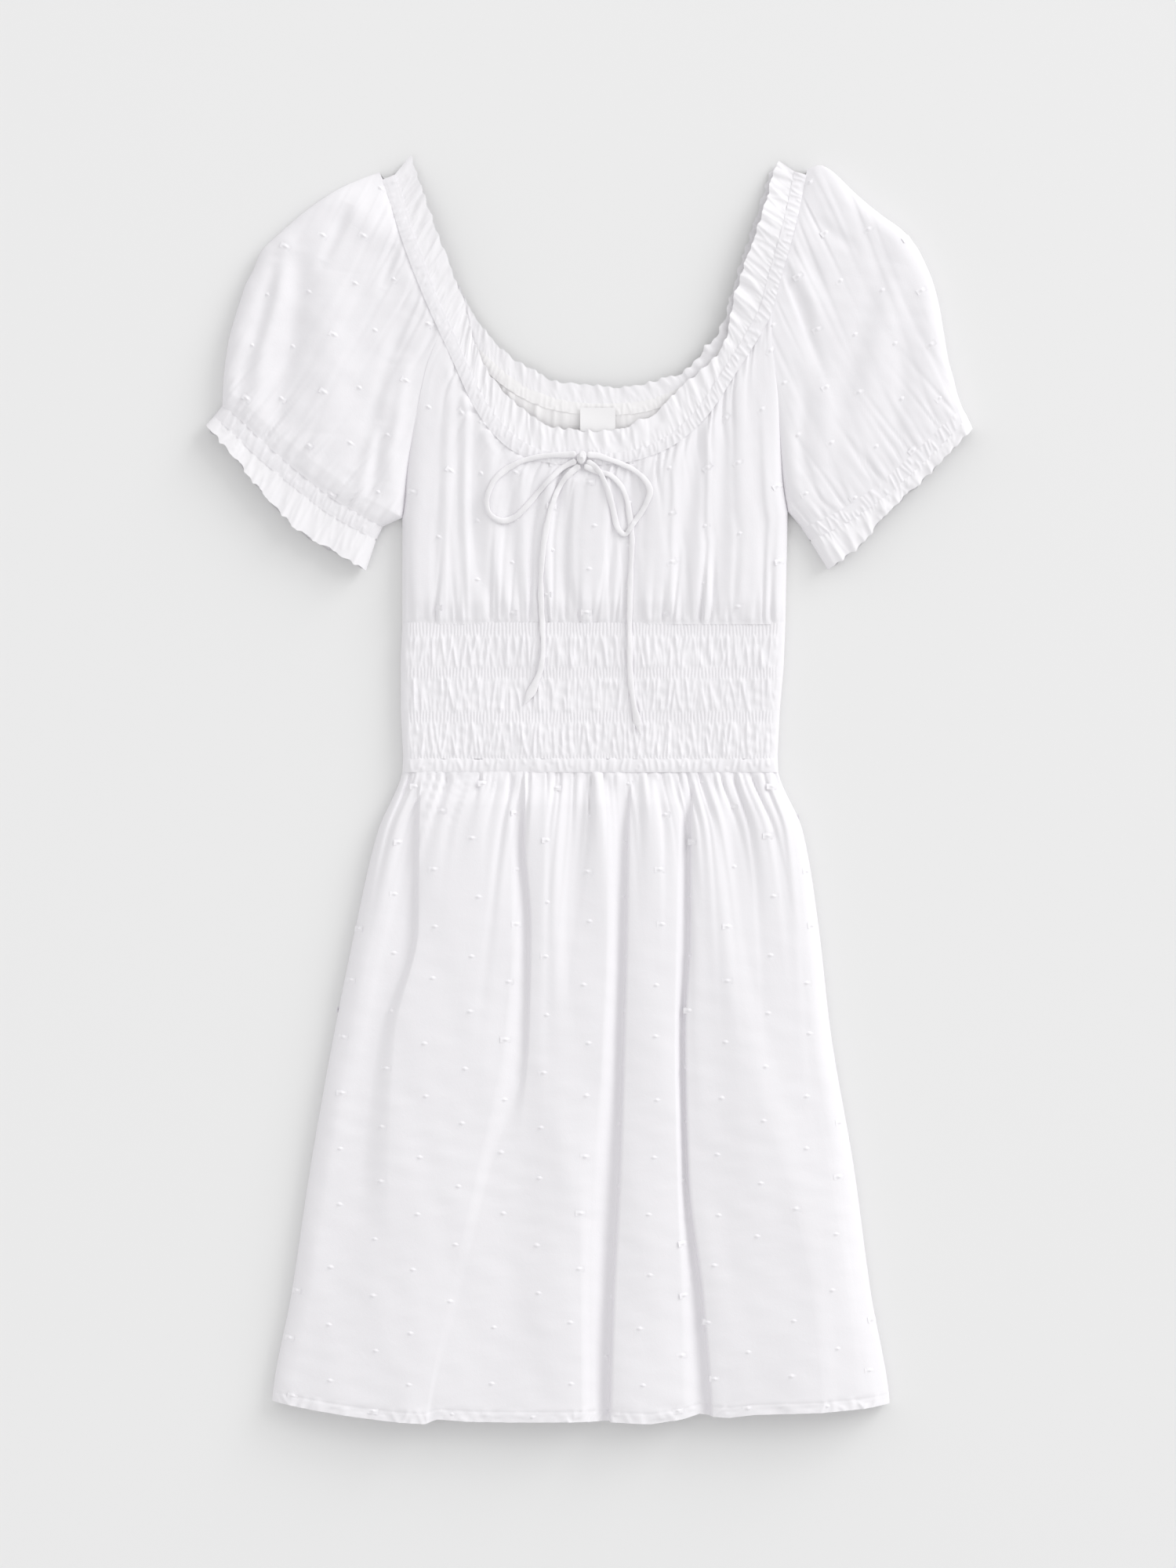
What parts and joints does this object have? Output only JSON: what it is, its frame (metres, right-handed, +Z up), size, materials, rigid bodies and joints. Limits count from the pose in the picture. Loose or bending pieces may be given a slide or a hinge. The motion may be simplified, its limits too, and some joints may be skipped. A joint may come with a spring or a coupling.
{
  "type": "mini dress",
  "caption": "Mini dress laid flat: gathered skirt, smocked waist, raglan puff sleeves with frilled elastic cuffs, and a wide frilled elastic neck with a tied bow.",
  "frame": {"origin": "centre of the outline seen from above, on the surface that the dress lies on", "axes": "+Z up from the surface, +Y from the hem to the neck, +X to the viewer's right with the front of the dress facing up"},
  "size_m": [0.5336, 0.8812, 0.0247],
  "materials": {
    "cloth": "matte cotton with woven dots",
    "casing": "matte cotton gathered by elastic",
    "frill": "matte cotton",
    "tie": "matte cotton",
    "label": "satin tape"
  },
  "bodies": {
    "root": {"skirt_front": "cloth", "skirt_back": "cloth", "waist_casing_front": "casing", "waist_casing_back": "casing", "waist_front": "cloth", "waist_back": "cloth", "bodice_front": "cloth", "bodice_back": "cloth", "sleeve_left": "cloth", "sleeve_right": "cloth", "cuff_casing_left": "casing", "cuff_casing_right": "casing", "cuff_frill_left": "frill", "cuff_frill_right": "frill", "neck_casing_front": "casing", "neck_casing_back": "casing", "neck_frill_front": "frill", "neck_frill_back": "frill", "neck_label": "label", "tie_knot": "tie", "tie_loop_left": "tie", "tie_loop_right": "tie", "tie_tail_left": "tie", "tie_tail_right": "tie"}
  },
  "joints": []
}
